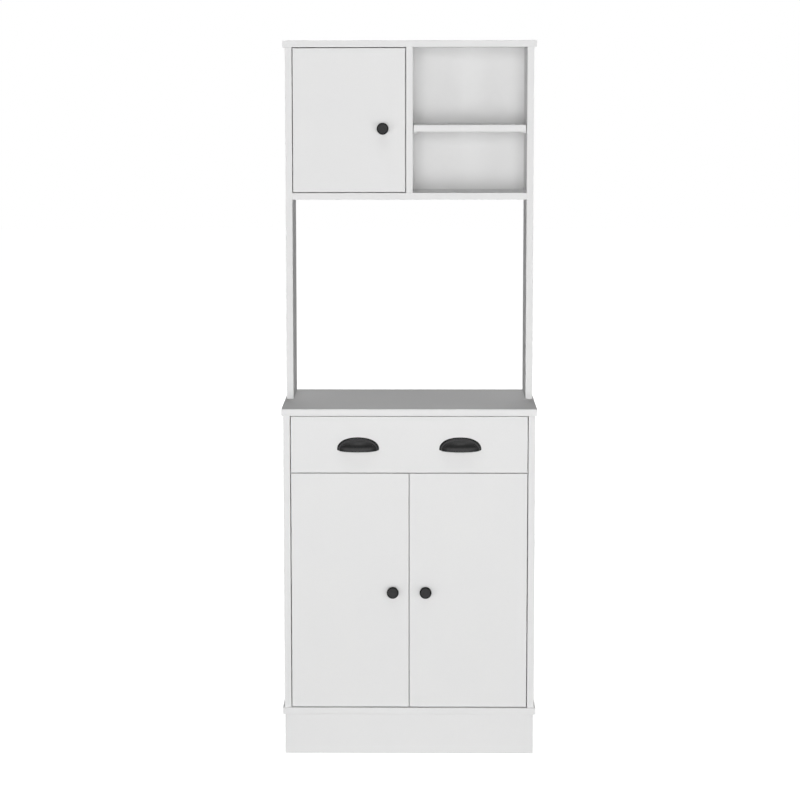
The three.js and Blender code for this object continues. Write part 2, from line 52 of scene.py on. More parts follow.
# ---------------------------------------------------------------- camera, floor and light

FOCAL_PX = 2627.0  # focal length in pixels of the 800-pixel frame
FRAME_PX = 800.0
SENSOR = 36.0
CAMERA_AT = Vector((0.0177, -6.2819, 1.6283))
CAMERA_YAW = math.radians(-1.028)
CAMERA_PITCH = math.radians(-7.698)
CAMERA_ROLL = math.radians(-0.105)
SHIFT_PX = (30.0, 20.0)

ROOM_LIGHT = 0.025  # strength of the light from all round
LAMP_AIM = Vector((0, 0, 0.9))
FLOOR_SIZE, FLOOR_DROP = 40.0, 0.0005
FLOOR_TONE = 0.45
FLOOR_GLOW = 0.99  # what the camera sees of the floor besides its lit paint


def add_camera():
    data = bpy.data.cameras.new("camera")
    camera = bpy.data.objects.new("camera", data)
    scene.collection.objects.link(camera)
    scene.camera = camera
    data.sensor_width = SENSOR
    data.lens = FOCAL_PX / FRAME_PX * SENSOR
    data.shift_x, data.shift_y = SHIFT_PX[0] / FRAME_PX, SHIFT_PX[1] / FRAME_PX
    data.clip_start, data.clip_end = 0.1, 60.0
    flat = math.cos(CAMERA_PITCH)
    ahead = Vector((math.sin(CAMERA_YAW) * flat, math.cos(CAMERA_YAW) * flat, math.sin(CAMERA_PITCH)))
    turn = ahead.to_track_quat("-Z", "Y").to_matrix() @ Matrix.Rotation(CAMERA_ROLL, 3, "Z")
    camera.matrix_world = Matrix.Translation(CAMERA_AT) @ turn.to_4x4()


def add_lamp(name, azimuth, elevation, distance, size, share, glossy=True):
    """A round soft lamp aimed near the cabinet's middle. Azimuth 0 is the front and 90 the right.

    share is the light it gives a surface that faces it.
    """
    a, e = math.radians(azimuth), math.radians(elevation)
    away = Vector((math.sin(a) * math.cos(e), -math.cos(a) * math.cos(e), math.sin(e)))
    data = bpy.data.lights.new(name, "AREA")
    data.shape, data.size = "DISK", size
    data.energy = share * (math.pi * distance) ** 2
    lamp = bpy.data.objects.new(name, data)
    scene.collection.objects.link(lamp)
    lamp.location = LAMP_AIM + away * distance
    lamp.rotation_euler = away.to_track_quat("Z", "Y").to_euler()
    lamp.visible_camera = False
    lamp.visible_glossy = glossy


def seen_directly(tree):
    """1 for rays of the camera, of gloss and through glass, 0 for the rest."""
    path = tree.nodes.new("ShaderNodeLightPath")
    last = path.outputs["Is Camera Ray"]
    for name in ("Is Glossy Ray", "Is Transmission Ray"):
        either = tree.nodes.new("ShaderNodeMath")
        either.operation = "MAXIMUM"
        tree.links.new(last, either.inputs[0])
        tree.links.new(path.outputs[name], either.inputs[1])
        last = either.outputs[0]
    return last


def add_world():
    world = bpy.data.worlds.new("studio")
    scene.world = world
    world.use_nodes = True
    tree = world.node_tree
    tree.nodes.clear()
    room = tree.nodes.new("ShaderNodeBackground")
    room.inputs["Strength"].default_value = ROOM_LIGHT
    white = tree.nodes.new("ShaderNodeBackground")
    white.inputs["Strength"].default_value = 1.0
    for background in (room, white):
        background.inputs["Color"].default_value = (1, 1, 1, 1)
    mix = tree.nodes.new("ShaderNodeMixShader")
    tree.links.new(seen_directly(tree), mix.inputs[0])
    tree.links.new(room.outputs[0], mix.inputs[1])
    tree.links.new(white.outputs[0], mix.inputs[2])
    out = tree.nodes.new("ShaderNodeOutputWorld")
    tree.links.new(mix.outputs[0], out.inputs["Surface"])


def add_floor():
    bpy.ops.mesh.primitive_grid_add(x_subdivisions=2, y_subdivisions=2, size=FLOOR_SIZE)
    floor = bpy.context.object
    floor.name = "floor"
    floor.location.z = -FLOOR_DROP
    material = bpy.data.materials.new("floor_white")
    material.use_nodes = True
    tree = material.node_tree
    tree.nodes.clear()
    paint = tree.nodes.new("ShaderNodeBsdfDiffuse")
    paint.inputs["Color"].default_value = (FLOOR_TONE, FLOOR_TONE, FLOOR_TONE, 1)
    glow = tree.nodes.new("ShaderNodeEmission")
    part = tree.nodes.new("ShaderNodeMath")
    part.operation = "MULTIPLY"
    part.inputs[1].default_value = FLOOR_GLOW
    tree.links.new(seen_directly(tree), part.inputs[0])
    tree.links.new(part.outputs[0], glow.inputs["Strength"])
    both = tree.nodes.new("ShaderNodeAddShader")
    tree.links.new(paint.outputs[0], both.inputs[0])
    tree.links.new(glow.outputs[0], both.inputs[1])
    out = tree.nodes.new("ShaderNodeOutputMaterial")
    tree.links.new(both.outputs[0], out.inputs["Surface"])
    floor.data.materials.append(material)


scene.view_settings.view_transform = "Standard"
add_camera()
add_world()
add_floor()
add_lamp("key", azimuth=0, elevation=4.5, distance=7.0, size=3.2, share=0.63, glossy=False)
add_lamp("high", azimuth=0, elevation=60, distance=8.0, size=3.0, share=0.12)
add_lamp("over", azimuth=180, elevation=42, distance=8.0, size=3.0, share=0.20, glossy=False)
add_lamp("rear", azimuth=180, elevation=6, distance=7.0, size=2.4, share=0.12, glossy=False)
for way in (-1, 1):
    add_lamp("front_side", azimuth=way * 34, elevation=-4, distance=5.6, size=1.3, share=0.115)
    add_lamp("side", azimuth=way * 90, elevation=1, distance=7.0, size=0.8, share=0.22, glossy=False)


# ---------------------------------------------------------------- materials

class Look:
    """A node material: a Principled shader, and object coordinates for its textures."""

    def __init__(self, name, color, roughness, metallic=0.0, specular=0.5):
        self.material = bpy.data.materials.new(name)
        self.material.use_nodes = True
        self.tree = self.material.node_tree
        self.shader = next(n for n in self.tree.nodes if n.type == "BSDF_PRINCIPLED")
        self.shader.inputs["Base Color"].default_value = (*color, 1)
        self.shader.inputs["Roughness"].default_value = roughness
        self.shader.inputs["Metallic"].default_value = metallic
        self.shader.inputs["Specular IOR Level"].default_value = specular
        self.where = self.add("ShaderNodeTexCoord").outputs["Object"]

    def add(self, kind, **settings):
        node = self.tree.nodes.new(kind)
        for key, value in settings.items():
            setattr(node, key, value)
        return node

    def link(self, source, target):
        self.tree.links.new(source, target)

    def noise(self, per_metre, detail=2.0, rough=0.5, stretch=None):
        node = self.add("ShaderNodeTexNoise")
        node.inputs["Scale"].default_value = per_metre
        node.inputs["Detail"].default_value = detail
        node.inputs["Roughness"].default_value = rough
        where = self.where
        if stretch:
            mapping = self.add("ShaderNodeMapping")
            mapping.inputs["Scale"].default_value = stretch
            self.link(where, mapping.inputs["Vector"])
            where = mapping.outputs["Vector"]
        self.link(where, node.inputs["Vector"])
        return node.outputs["Fac"]

    def ramp(self, source, low, high, start=0.3, end=0.7):
        """Goes from low to high while the source goes from start to end, and stays level beyond."""
        node = self.add("ShaderNodeMapRange")
        node.inputs["From Min"].default_value = start
        node.inputs["From Max"].default_value = end
        node.inputs["To Min"].default_value = low
        node.inputs["To Max"].default_value = high
        self.link(source, node.inputs["Value"])
        return node.outputs["Result"]

    def math(self, operation, a, b=0.0):
        node = self.add("ShaderNodeMath", operation=operation)
        for socket, value in zip(node.inputs, (a, b)):
            if isinstance(value, (int, float)):
                socket.default_value = value
            else:
                self.link(value, socket)
        return node.outputs[0]

    def tone(self, factor, base, other):
        """Colour between two colours by factor. Each is a colour or an earlier tone."""
        node = self.add("ShaderNodeMix", data_type="RGBA")
        self.link(factor, node.inputs["Factor"])
        for name, color in (("A", base), ("B", other)):
            socket = next(s for s in node.inputs if s.name == name and s.type == "RGBA")
            if isinstance(color, tuple):
                socket.default_value = (*color, 1)
            else:
                self.link(color, socket)
        return next(s for s in node.outputs if s.type == "RGBA")

    def paint(self, tone):
        self.link(tone, self.shader.inputs["Base Color"])

    def rough(self, value):
        self.link(value, self.shader.inputs["Roughness"])

    def bump(self, height, distance):
        node = self.add("ShaderNodeBump")
        node.inputs["Distance"].default_value = distance
        node.inputs["Strength"].default_value = 1.0
        self.link(height, node.inputs["Height"])
        self.link(node.outputs["Normal"], self.shader.inputs["Normal"])


def melamine():
    look = Look("white_melamine", (0.80, 0.80, 0.80), 0.75, specular=0.03)
    cloud = look.ramp(look.noise(9, detail=3), 0.0, 1.0)
    fibre = look.ramp(look.noise(700, detail=4, rough=0.7), 0.0, 1.0, 0.35, 0.75)
    base = look.tone(cloud, (0.800, 0.801, 0.803), (0.812, 0.811, 0.809))
    look.paint(look.tone(fibre, base, (0.785, 0.785, 0.783)))
    look.rough(look.ramp(look.noise(60, detail=4), 0.70, 0.80))
    look.bump(look.noise(1400, detail=3, rough=0.6), 0.00002)
    return look.material


def hardboard():
    look = Look("white_faced_hardboard", (0.78, 0.78, 0.78), 0.6, specular=0.1)
    blotch = look.ramp(look.noise(24, detail=5, rough=0.6), 0.0, 1.0)
    speck = look.ramp(look.noise(900, detail=3, rough=0.7), 0.0, 1.0, 0.4, 0.72)
    base = look.tone(blotch, (0.760, 0.760, 0.760), (0.776, 0.776, 0.775))
    look.paint(look.tone(speck, base, (0.754, 0.754, 0.753)))
    look.rough(look.ramp(look.noise(110, detail=3), 0.55, 0.68))
    look.bump(look.noise(1100, detail=4, rough=0.65), 0.00004)
    return look.material


def powder_black(name, tone, roughness, specular):
    look = Look(name, (tone, tone, tone), roughness, specular=specular)
    mottle = look.ramp(look.noise(180, detail=4), 0.0, 1.0)
    dark, light = (tone * 0.9, tone * 0.9, tone * 0.92), (tone * 1.12, tone * 1.12, tone * 1.13)
    look.paint(look.tone(mottle, dark, light))
    look.rough(look.ramp(look.noise(420, detail=3), roughness - 0.05, roughness + 0.06))
    look.bump(look.noise(2600, detail=2, rough=0.6), 0.00003)
    return look.material


PULL_SQUARENESS = 2.2  # exponent of the cup pulls' arch, where 2 is an ellipse
CAST_TONE_AND_HIGHLIGHT = ((0.006, 0.006, 0.006), (0.049, 0.049, 0.050))  # plain, and with painted highlight
# Where the painted highlights of a pull start and end and how strong they are, and where painted shade takes
# them off its rim, the ends of its lip and the lip's bottom edge. Heights are 0 at its bottom and 1
# at its top, widths 0 in its middle and 1 at its sides, reaches 0 in the bottom's middle and 1 on the arch.
CROWN_HEIGHTS, CROWN_HIGHLIGHT = (0.48, 0.68), 0.72
LIP_HEIGHTS, LIP_HIGHLIGHT = (0.24, 0.36), 0.84
LIP_EDGE_HEIGHTS, LIP_EDGE_SHARE = (0.0, 0.08), 0.4
LIP_END_WIDTHS = (0.6, 0.85)
FLANGE_REACHES = (0.52, 0.60)
RIM_REACHES = (0.80, 0.92)
SIDE_LOSS = 0.3  # what the painted highlight bands of the flange and the lip lose towards the sides


def cast_black():
    """Black of the cup pulls, with painted highlights on the crown, the flange and the middle of the lip, and
    painted shade at the outer rim, the lip's ends and its bottom edge.
    """
    look = Look("satin_black_cast", (0.02, 0.02, 0.02), 0.3, specular=0.2)
    low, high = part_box("cup_pull_right")
    spot = look.add("ShaderNodeSeparateXYZ")
    look.link(look.where, spot.inputs[0])
    height = look.ramp(spot.outputs["Z"], 0.0, 1.0, low.z, high.z)
    middle, half = (low.x + high.x) / 2, (high.x - low.x) / 2
    either_pull = look.math("ABSOLUTE", spot.outputs["X"])  # the two mirror each other
    aside = look.math("ABSOLUTE", look.math("SUBTRACT", either_pull, middle))
    width = look.math("DIVIDE", aside, half)
    across = look.math("POWER", width, PULL_SQUARENESS)
    reach = look.math("ADD", across, look.math("POWER", height, PULL_SQUARENESS))
    loss = look.math("MULTIPLY", across, SIDE_LOSS)
    # Painted highlight on the flange, fading into painted shade at the outer rim.
    rim = look.ramp(reach, 1.0, 0.0, *RIM_REACHES)
    flange = look.ramp(look.math("SUBTRACT", reach, loss), 0.0, 1.0, *FLANGE_REACHES)
    # Painted highlights on the crown and the middle of the lip, with painted shade at the lip's ends and
    # along its bottom edge.
    crown = look.ramp(height, 0.0, CROWN_HIGHLIGHT, *CROWN_HEIGHTS)
    ends = look.ramp(width, 1.0, 0.0, *LIP_END_WIDTHS)
    edge = look.ramp(look.math("SUBTRACT", height, loss), LIP_EDGE_SHARE, 1.0, *LIP_EDGE_HEIGHTS)
    lip = look.math("MULTIPLY", look.ramp(height, LIP_HIGHLIGHT, 0.0, *LIP_HEIGHTS), edge)
    lip = look.math("MULTIPLY", lip, ends)
    # All the painted highlight together, kept off the rim's painted shade.
    painted_highlight = look.math("MULTIPLY", look.math("MAXIMUM", look.math("MAXIMUM", crown, lip), flange), rim)
    mottle = look.ramp(look.noise(180, detail=4), -0.12, 0.12)
    look.paint(look.tone(look.math("ADD", painted_highlight, mottle), *CAST_TONE_AND_HIGHLIGHT))
    look.rough(look.ramp(look.noise(420, detail=3), 0.26, 0.36))
    look.bump(look.noise(2600, detail=2, rough=0.6), 0.000006)
    return look.material


def zinc(name, tone, stretch):
    look = Look(name, (tone, tone, tone), 0.32, metallic=1.0)
    spangle = look.ramp(look.noise(160, detail=3), 0.0, 1.0)
    dull, bright = (tone * 0.94, tone * 0.95, tone * 0.965), (tone * 1.05, tone * 1.06, tone * 1.07)
    look.paint(look.tone(spangle, dull, bright))
    drawn = look.noise(500, detail=3, rough=0.6, stretch=stretch)
    look.rough(look.ramp(drawn, 0.26, 0.42))
    look.bump(drawn, 0.00002)
    return look.material


def moulded_white():
    look = Look("moulded_white", (0.76, 0.76, 0.75), 0.4, specular=0.4)
    look.paint(look.tone(look.ramp(look.noise(90), 0.0, 1.0), (0.75, 0.75, 0.74), (0.78, 0.78, 0.77)))
    look.bump(look.noise(1800, detail=2), 0.00002)
    return look.material


white_board = melamine()
white_hardboard = hardboard()
white_plastic = moulded_white()
black = powder_black("satin_black", 0.034, 0.45, 0.14)
# Darker black for the knobs' rims: painted shade.
black_rim_painted_shade = powder_black("satin_black_rim", 0.010, 0.55, 0.05)
black_cast = cast_black()
pressed_zinc = zinc("pressed_zinc", 0.66, (1, 1, 1))
drawn_zinc = zinc("drawn_zinc", 0.62, (1, 0.03, 1))
bright_zinc = zinc("bright_zinc", 0.74, (1, 1, 1))
FINISH = {
    "white_board": white_board,
    "white_hardboard": white_hardboard,
    "black_metal": black,
    "zinc_steel": pressed_zinc,
}
for name, node in nodes.items():
    kind = next(k for k in FINISH if node.data.materials[0].name.startswith(k))
    node.data.materials[0] = drawn_zinc if name.startswith("slide_") else FINISH[kind]


# ---------------------------------------------------------------- mesh helpers, all in millimetres

def shown(name, bm, material, body, stands_for=(), sharp=35, soften=0.0):
    """Makes a piece of the mesh and hangs it on its body. soften is the width of its rounded edges."""
    bmesh.ops.recalc_face_normals(bm, faces=bm.faces)
    mesh = bpy.data.meshes.new(name)
    bm.to_mesh(mesh)
    bm.free()
    mesh.transform(Matrix.Scale(MM, 4))
    mesh.shade_smooth()
    mesh.materials.append(material)
    piece = bpy.data.objects.new(name, mesh)
    scene.collection.objects.link(piece)
    if soften:
        edges = piece.modifiers.new("soft_edges", "BEVEL")
        edges.width, edges.segments = soften * MM, 2
        edges.limit_method, edges.angle_limit = "ANGLE", math.radians(sharp)
        edges.harden_normals = True
    else:
        mesh.set_sharp_from_angle(angle=math.radians(sharp))
    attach(piece, body)
    if stands_for:
        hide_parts(*stands_for)
    return piece


def skin(bm, rings):
    """Faces between each closed ring and the next, without the corners that fall together."""
    for first, second in zip(rings, rings[1:]):
        count = len(first)
        for i in range(count):
            j = (i + 1) % count
            corners = list(dict.fromkeys((first[i], first[j], second[j], second[i])))
            if len(corners) > 2:
                bm.faces.new(corners)


def revolve(bm, profile, centre, axis, sides):
    """Turns a profile of (radius, height along axis) points round axis through centre."""
    axis = Vector(axis).normalized()
    across = axis.orthogonal().normalized()
    other = axis.cross(across)
    turns = [2 * math.pi * k / sides for k in range(sides)]
    spokes = [across * math.cos(t) + other * math.sin(t) for t in turns]
    rings = []
    for radius, height in profile:
        at = Vector(centre) + axis * height
        if radius == 0:
            rings.append([bm.verts.new(at)] * sides)
        else:
            rings.append([bm.verts.new(at + spoke * radius) for spoke in spokes])
    skin(bm, rings)


def prism(bm, outline, near, far, place):
    """Extrudes an outline of (u, v) points from w = near to w = far, and puts it in its place."""
    ends = [[bm.verts.new(place @ Vector((u, v, w))) for u, v in outline] for w in (near, far)]
    skin(bm, ends)
    for end in ends:
        bm.faces.new(end)


def arc(centre, radius, start, end, steps):
    """Points of an arc, angles in degrees."""
    turns = [math.radians(start + (end - start) * k / steps) for k in range(steps + 1)]
    return [(centre[0] + radius * math.cos(t), centre[1] + radius * math.sin(t)) for t in turns]


def rounded(points, radius, steps=4):
    """The closed outline with its corners rounded."""
    out = []
    for before, at, after in zip(points[-1:] + points[:-1], points, points[1:] + points[:1]):
        corner, back, ahead = Vector(at), Vector(before) - Vector(at), Vector(after) - Vector(at)
        start = corner + back.normalized() * min(radius, back.length * 0.45)
        end = corner + ahead.normalized() * min(radius, ahead.length * 0.45)
        for k in range(steps + 1):
            t = k / steps
            out.append(tuple(start * (1 - t) ** 2 + corner * 2 * t * (1 - t) + end * t * t))
    return out


def box_mm(node):
    low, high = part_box(node)
    return low / MM, high / MM


def facing(at, way, turn=0.0):
    """Puts a template that stands on z = 0 at a point, facing that way, turned by so many degrees."""
    aim = Vector(way).to_track_quat("Z", "Y").to_matrix().to_4x4()
    return Matrix.Translation(Vector(at)) @ aim @ Matrix.Rotation(math.radians(turn), 4, "Z")


def scatter(bm, mesh, places):
    for place in places:
        start = len(bm.verts)
        bm.from_mesh(mesh)
        bm.verts.ensure_lookup_table()
        bmesh.ops.transform(bm, matrix=place, verts=bm.verts[start:])


# ---------------------------------------------------------------- templates of small fasteners

# Half widths of a cross recess at its top and root, and its reach at the root, as shares of its reach.
CROSS_WIDTH, CROSS_ROOT_WIDTH, CROSS_ROOT = 0.2, 0.08, 0.35
CUTTER_ABOVE = 0.4  # how far the cross's cutter stands out of the head
PAN_EDGE = 0.35  # share of a pan head's height that is below its dome
FLAT_HEAD_SINK = 1.0
PAD_RADIUS = 3.6


def template(name, profile, sides=32):
    """A turned mesh from a profile of (radius, height) points."""
    bm = bmesh.new()
    revolve(bm, profile, (0, 0, 0), (0, 0, 1), sides)
    bmesh.ops.recalc_face_normals(bm, faces=bm.faces)
    mesh = bpy.data.meshes.new(name)
    bm.to_mesh(mesh)
    bm.free()
    return mesh


def cross_cutter(reach, top, bottom):
    """Four wings that taper from the top to the bottom of a recess, and stand out above it."""
    wide, slim, root = reach * CROSS_WIDTH, reach * CROSS_ROOT_WIDTH, reach * CROSS_ROOT
    bm = bmesh.new()
    for turn in (0, 90):
        place = Matrix.Rotation(math.radians(turn), 4, "Z")
        for way in (-1, 1):
            upper = [(0, -wide), (way * reach, -wide), (way * reach, wide), (0, wide)]
            lower = [(0, -slim), (way * root, -slim), (way * root, slim), (0, slim)]
            rings = [[bm.verts.new(place @ Vector((*p, z))) for p in outline]
                     for outline, z in ((upper, top + CUTTER_ABOVE), (lower, bottom))]
            skin(bm, rings)
            for ring in rings:
                bm.faces.new(ring)
    bmesh.ops.recalc_face_normals(bm, faces=bm.faces)
    mesh = bpy.data.meshes.new("cross_cutter")
    bm.to_mesh(mesh)
    bm.free()
    return mesh


def with_cross(head, reach, top, depth):
    """The head with a tapered cross recess of that reach, let in from its top."""
    cutter = cross_cutter(reach, top, top - depth)
    work, tool = (bpy.data.objects.new(n, m) for n, m in (("head", head), ("cutter", cutter)))
    for item in (work, tool):
        scene.collection.objects.link(item)
    cut = work.modifiers.new("cross", "BOOLEAN")
    cut.operation, cut.object, cut.solver, cut.use_self = "DIFFERENCE", tool, "EXACT", True
    view = bpy.context.evaluated_depsgraph_get()
    made = bpy.data.meshes.new_from_object(work.evaluated_get(view))
    for item in (work, tool):
        bpy.data.objects.remove(item)
    return made


def pan_head(radius, height):
    edge, rise = height * PAN_EDGE, height * (1 - PAN_EDGE)
    dome = [(radius * math.cos(t), edge + rise * math.sin(t)) for t in map(math.radians, (0, 18, 36, 54, 72))]
    head = template("pan_head", [(0, 0), (radius, 0), *dome, (0, height)])
    return with_cross(head, reach=radius * 0.62, top=height, depth=height * 0.75)


def flat_head(radius, proud):
    sink = FLAT_HEAD_SINK
    profile = [(0, -sink), (radius - sink, -sink), (radius, proud - 0.2), (radius - 0.2, proud), (0, proud)]
    head = template("flat_head", profile)
    return with_cross(head, reach=radius * 0.66, top=proud, depth=sink + proud * 0.5)


SMALL_PAN = pan_head(radius=3.6, height=1.5)
LOW_PAN = pan_head(radius=3.4, height=1.0)
MACHINE_PAN = pan_head(radius=4.2, height=2.4)
SET_SCREW = flat_head(radius=3.0, proud=0.3)
EAR_SCREW = flat_head(radius=3.6, proud=0.35)
SIDE_SCREW = flat_head(radius=3.5, proud=0.2)
NAIL = template("nail", [(0, 0), (2.9, 0), (3.1, 0.15), (3.0, 0.4), (2.2, 0.62), (0, 0.7)], 20)
CAP_RIM = [(0, 0), (8.5, 0), (8.5, 0.35), (8.2, 0.7), (6.5, 1.0)]
CAP = template("cam_cap", [*CAP_RIM, (1.6, 1.15), (1.4, 0.75), (0, 0.7)], 36)
PAD_RIM = [(PAD_RADIUS, 0), (PAD_RADIUS, 0.6), (PAD_RADIUS - 0.4, 1.05)]
PAD = template("pad", [(0, 0), *PAD_RIM, (2.2, 1.3), (0, 1.35)], 28)
COLLAR = template("collar", [(2.5, 0), (3.9, 0), (3.9, 0.5), (3.6, 0.8), (2.5, 0.8), (2.5, 0)], 28)


# ---------------------------------------------------------------- knobs

KNOB_STEM, KNOB_FOOT, KNOB_RIM = 5.5, 8.5, 6.0  # radius, radius, depth of the head
KNOB_FOOT_THICKNESS, KNOB_FOOT_BEVEL = 1.6, 0.4
KNOB_THROAT, KNOB_BACK_ROUNDING, KNOB_ROUNDING = 4.0, 1.2, 3.2
KNOB_DISH = 0.5
KNOB_RIM_FROM = 0.6  # how far outside the dished face the darker rim, a painted shade, starts


def add_knob(door):
    low, high = box_mm(f"{door}_knob")
    x, z = (low.x + high.x) / 2, (low.z + high.z) / 2
    head, reach = (high.x - low.x) / 2, high.y - low.y
    back = reach - KNOB_RIM
    face = head - KNOB_ROUNDING
    foot, thick, bevel = KNOB_FOOT, KNOB_FOOT_THICKNESS, KNOB_FOOT_BEVEL
    flare = foot - KNOB_STEM
    profile = [(0, 0), (foot - bevel, 0), (foot, bevel), (foot, thick - bevel), (foot - bevel, thick)]
    profile += arc((foot, thick + flare), flare, 262, 180, 6)
    profile += arc((KNOB_STEM + KNOB_THROAT, back - KNOB_THROAT), KNOB_THROAT, 180, 90, 6)
    profile += arc((head - KNOB_BACK_ROUNDING, back + KNOB_BACK_ROUNDING), KNOB_BACK_ROUNDING, 270, 360, 4)
    profile += arc((face, reach - KNOB_ROUNDING), KNOB_ROUNDING, 0, 88, 9)
    profile += [(face * s, reach - KNOB_DISH * (1 - s ** 2) ** 2) for s in (k / 8 for k in range(7, -1, -1))]
    bm = bmesh.new()
    revolve(bm, profile, (x, high.y, z), (0, -1, 0), 64)
    knob = shown(f"{door}_knob_turned", bm, black, f"{door}_door", [f"{door}_knob"])
    # The rounded rim gets a darker, less glossy black: painted shade.
    knob.data.materials.append(black_rim_painted_shade)
    for side in knob.data.polygons:
        away = math.hypot(side.center.x / MM - x, side.center.z / MM - z)
        side.material_index = int(away > face + KNOB_RIM_FROM)


# ---------------------------------------------------------------- cup pulls

PULL_FLANGE, PULL_FLANGE_THICKNESS, PULL_WALL = 4.0, 2.0, 2.2
PULL_FLANGE_OVERLAP = 0.6  # how far the flange reaches under the dome
PULL_FOOT, PULL_LIP_DROP = 3.0, 1.3
PULL_BEAD, PULL_BEAD_FROM = 0.8, 0.7  # how far it stands out, and the share of the way down where it starts
PULL_BOSSES, PULL_BOSS_HEIGHT = 32.0, 10.0  # out from the pull's middle and up from its foot
PULL_BOSS_RADIUS, PULL_BOSS_REACH = 4.0, 13.5
PULL_SLICES, PULL_STEPS, PULL_ARCH_STEPS = 60, 22, 48


def on_arch(half, height, x, z):
    """Where the ray through (x, z) meets the arch."""
    n = PULL_SQUARENESS
    reach = (abs(x / half) ** n + abs(z / height) ** n) ** (1 / n)
    return (x / reach, z / reach)


def dome_rings(half, height, depth):
    """Slices of the pull across its width.

    Each one goes down the outer skin, round the lip and up the inner skin.
    """
    steps = PULL_STEPS
    beads = [max(0.0, k / steps - PULL_BEAD_FROM) / (1 - PULL_BEAD_FROM) for k in range(steps + 1)]
    down = [(math.radians(90 * k / steps), 0.0, bead) for k, bead in enumerate(beads)]
    lip = [(math.radians(90), PULL_WALL * (1 - math.cos(math.radians(t))) / 2, math.cos(math.radians(t / 2)))
           for t in (30, 60, 90, 120, 150)]
    up = [(math.radians(90 * k / steps), PULL_WALL, 0.0) for k in range(steps, -1, -1)]
    rings = []
    for i in range(PULL_SLICES + 1):
        s = math.pi * (i / PULL_SLICES - 0.5)
        ring = []
        for v, inset, bead in down + lip + up:
            x, z = math.sin(s), math.cos(s) * math.cos(v)
            size = math.hypot(x, z)
            if size > 1e-9:
                x, z = (c * size for c in on_arch(1, 1, x, z))
            out = (depth - inset) * math.cos(s) * math.sin(v) + PULL_BEAD * bead ** 2 * math.cos(s)
            drop = PULL_LIP_DROP * math.cos(s) * math.sin(v) ** 3
            ring.append(((half - inset) * x, -out, (height - inset) * z - drop))
        rings.append(ring)
    return rings


def flange_rings(half, height):
    """The flange's cross-sections along the arch, from foot to foot."""
    foot, thick = PULL_FOOT, PULL_FLANGE_THICKNESS
    turns = [math.pi * k / PULL_ARCH_STEPS for k in range(1, PULL_ARCH_STEPS)]
    arch = [on_arch(half, height - foot, math.cos(t), math.sin(t)) for t in turns]
    outline = arc((half - foot, foot), foot, -90, 0, 5) + [(x, z + foot) for x, z in arch]
    outline += arc((foot - half, foot), foot, 180, 270, 5)
    width = PULL_FLANGE + PULL_FLANGE_OVERLAP
    rings = []
    for x, z in outline:
        inner = Vector(on_arch(half - width, height - width, x, max(z, 1e-6)))
        outer = Vector((x, z))
        inward = (inner - outer).normalized()
        section = [(outer, 0), (outer, 1.0 - thick), (outer + inward * 0.25, 0.4 - thick),
                   (outer + inward * 0.9, -thick), (inner - inward * 1.0, -thick),
                   (inner - inward * 0.3, -thick - 0.35), (inner, -thick - 1.1), (inner, 0)]
        rings.append([(p.x, y, p.y) for p, y in section])
    return rings


def add_cup_pull(side):
    low, high = box_mm(f"cup_pull_{side}")
    foot = low.z + PULL_LIP_DROP
    half, height, depth = (high.x - low.x) / 2, high.z - foot, high.y - low.y - PULL_BEAD
    place = Matrix.Translation(((low.x + high.x) / 2, high.y, foot))
    bm = bmesh.new()
    dome = dome_rings(half - PULL_FLANGE, height - PULL_FLANGE, depth)
    skin(bm, [[bm.verts.new(place @ Vector(p)) for p in ring] for ring in dome])
    bmesh.ops.remove_doubles(bm, verts=bm.verts, dist=0.01)
    flange = [[bm.verts.new(place @ Vector(p)) for p in ring] for ring in flange_rings(half, height)]
    skin(bm, flange)
    for end in (flange[0], flange[-1]):
        bm.faces.new(end)
    radius, reach = PULL_BOSS_RADIUS, PULL_BOSS_REACH
    boss = [(0, 0.2), (radius - 0.2, 0.2), (radius, 0.4), (radius, reach), (0, reach)]
    for way in (-1, 1):
        centre = place @ Vector((way * PULL_BOSSES, 0, PULL_BOSS_HEIGHT))
        revolve(bm, boss, centre, (0, -1, 0), 32)
    shown(f"cup_pull_{side}_cast", bm, black_cast, "drawer", [f"cup_pull_{side}"])


# ---------------------------------------------------------------- concealed hinges

# Every hinge has its own frame: x into the opening from the face that carries the arm, y back from the
# door's front, z up from the hinge's middle.
DOOR_BOARD = 16.0
CUP_CENTRE, CUP_RIM, CUP_RADIUS, CUP_BORE = 24.5, 19.0, 17.2, 16.2  # place, flange, outside, inside
CUP_FLOOR, CUP_FLOOR_THICKNESS, CUP_FLANGE_TOP = 4.0, 1.0, 17.0
EAR_X, EAR_Z, EAR_RADIUS = 34.0, 22.5, 5.5
CUP_PIVOT, ARM_PIVOT = Vector((12.5, 11.0)), Vector((31.0, 20.0))
PIN_RADIUS, PIN_GAP, EYE_RADIUS, EYE_BEVEL, NOSE_RADIUS = 1.25, 0.3, 2.75, 0.3, 3.25
BEARING_RADIUS, BEARING_THICKNESS = 2.4, 1.0
LINK_HALF, LINK_THICKNESS, LINK_BULGE, LINK_GAP = 4.5, 2.4, 7.75, 0.35  # half width, gap to the fork
ARM_HALF, ARM_TOP, ARM_END, ARM_BEND, FORK_GAP = 6.35, 9.0, 75.0, 2.0, 0.4
CLIMB_START, CLIMB_END = 29.0, 41.0  # where the arm cranks over from its nose to its plate
PLATE_MIDDLE, PLATE_TOP, PLATE_HALF, PLATE_ROUNDING = 53.0, 3.0, 22.0, 3.5
WING_HALF, WING_BAR = 25.0, 7.5  # how far the plate's wings reach, and half the width of its bars
SET_SCREWS_AT, ARM_SCREW_AT, PLATE_SCREWS = (48.0, 56.0), 67.0, 16.0


